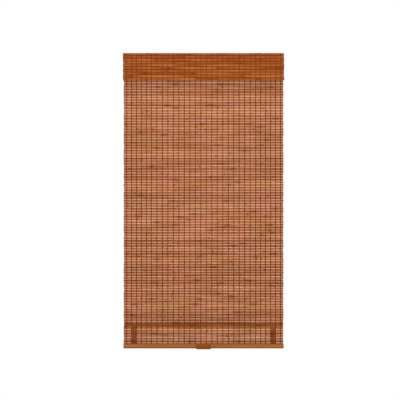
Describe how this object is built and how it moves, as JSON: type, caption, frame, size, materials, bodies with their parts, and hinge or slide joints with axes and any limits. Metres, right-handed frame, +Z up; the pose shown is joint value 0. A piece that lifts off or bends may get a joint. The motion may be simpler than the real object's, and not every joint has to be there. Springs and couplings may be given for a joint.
{
  "type": "bamboo roman shade",
  "caption": "Cordless roman shade: split bamboo slats woven on warp threads, a matching valance, a wooden bottom rail with a finger pull, and a spring-driven headrail.",
  "frame": {"origin": "middle of the bracket screw holes, in the plane that the brackets are screwed to", "axes": "+X to the right seen from the room, +Y towards the wall, +Z up; the shade hangs along -Z and its front faces -Y"},
  "size_m": [0.889, 0.0712, 1.634],
  "materials": {
    "bamboo": "split bamboo slats, tan stain, satin",
    "warp_yarn": "twisted dark brown cotton yarn",
    "valance_yarn": "twisted mid brown cotton yarn",
    "valance_bamboo": "split bamboo slats, tan stain, satin",
    "lining_cloth": "plain woven dark brown cloth",
    "stained_wood": "orange-brown stained wood, satin",
    "handle_plastic": "moulded brown plastic, semi-gloss",
    "headrail_paint": "brown painted sheet steel",
    "bracket_steel": "zinc-plated spring steel",
    "cap_plastic": "moulded brown plastic",
    "gear_plastic": "moulded off-white plastic",
    "motor_plastic": "moulded dark grey plastic",
    "plain_steel": "drawn steel",
    "tape_webbing": "flat woven polyester tape",
    "hook_and_loop": "hook-and-loop tape"
  },
  "bodies": {
    "head": {"mat": "bamboo", "warp_threads": "warp_yarn", "valance_threads": "valance_yarn", "valance_mat": "valance_bamboo", "valance_lining": "lining_cloth", "valance_board": "stained_wood", "headrail": "headrail_paint", "bracket_left": "bracket_steel", "bracket_right": "bracket_steel", "end_cap_left": "cap_plastic", "end_cap_right": "cap_plastic", "valance_clips": "cap_plastic", "cradle_left": "gear_plastic", "cradle_right": "gear_plastic", "motor_case": "motor_plastic", "motor_cover": "motor_plastic", "storage_axle": "plain_steel", "motor_spring": "plain_steel", "lift_tape_left": "tape_webbing", "lift_tape_right": "tape_webbing", "hook_tape": "hook_and_loop", "loop_tape": "hook_and_loop"},
    "bottom": {"cross_batten": "stained_wood", "upright_left": "stained_wood", "upright_right": "stained_wood", "bottom_rail": "stained_wood", "pull_handle": "handle_plastic", "handle_screws": "plain_steel", "tape_clamp_left": "gear_plastic", "tape_clamp_right": "gear_plastic"},
    "shaft": {"lift_shaft": "plain_steel", "tape_reel_left": "gear_plastic", "tape_reel_right": "gear_plastic", "output_drum": "gear_plastic"},
    "storage": {"storage_drum": "gear_plastic"},
    "guides_1": {"guide_row_1": "gear_plastic"},
    "guides_2": {"guide_row_2": "gear_plastic"},
    "guides_3": {"guide_row_3": "gear_plastic"},
    "guides_4": {"guide_row_4": "gear_plastic"},
    "guides_5": {"guide_row_5": "gear_plastic"},
    "guides_6": {"guide_row_6": "gear_plastic"}
  },
  "joints": [
    {"name": "lift", "type": "slide", "parent": "head", "child": "bottom", "axis": [0, 0, 1], "range_m": [0, 1.29], "deforming": ["mat", "warp_threads", "lift_tape_left", "lift_tape_right"]},
    {"name": "shaft_turn", "type": "hinge", "parent": "head", "child": "shaft", "pos_m": [0, -0.00445, -0.0214], "axis": [-1, 0, 0], "range_deg": [0, 5920]},
    {"name": "storage_turn", "type": "hinge", "parent": "head", "child": "storage", "pos_m": [0, 0.01115, -0.0214], "axis": [-1, 0, 0], "range_deg": [-6370, 0]},
    {"name": "guides_1_rise", "type": "slide", "parent": "head", "child": "guides_1", "axis": [0, 0, 1], "range_m": [0, 0.1853]},
    {"name": "guides_2_rise", "type": "slide", "parent": "head", "child": "guides_2", "axis": [0, 0, 1], "range_m": [0, 0.3696]},
    {"name": "guides_3_rise", "type": "slide", "parent": "head", "child": "guides_3", "axis": [0, 0, 1], "range_m": [0, 0.5539]},
    {"name": "guides_4_rise", "type": "slide", "parent": "head", "child": "guides_4", "axis": [0, 0, 1], "range_m": [0, 0.7381]},
    {"name": "guides_5_rise", "type": "slide", "parent": "head", "child": "guides_5", "axis": [0, 0, 1], "range_m": [0, 0.9224]},
    {"name": "guides_6_rise", "type": "slide", "parent": "head", "child": "guides_6", "axis": [0, 0, 1], "range_m": [0, 1.1067]}
  ],
  "couplings": [
    {"joint": "shaft_turn", "follows": "lift", "rad_per_m": 80},
    {"joint": "storage_turn", "follows": "lift", "rad_per_m": -86},
    {"joint": "guides_1_rise", "follows": "lift", "ratio": 0.14286},
    {"joint": "guides_2_rise", "follows": "lift", "ratio": 0.28571},
    {"joint": "guides_3_rise", "follows": "lift", "ratio": 0.42857},
    {"joint": "guides_4_rise", "follows": "lift", "ratio": 0.57143},
    {"joint": "guides_5_rise", "follows": "lift", "ratio": 0.71429},
    {"joint": "guides_6_rise", "follows": "lift", "ratio": 0.85714}
  ]
}
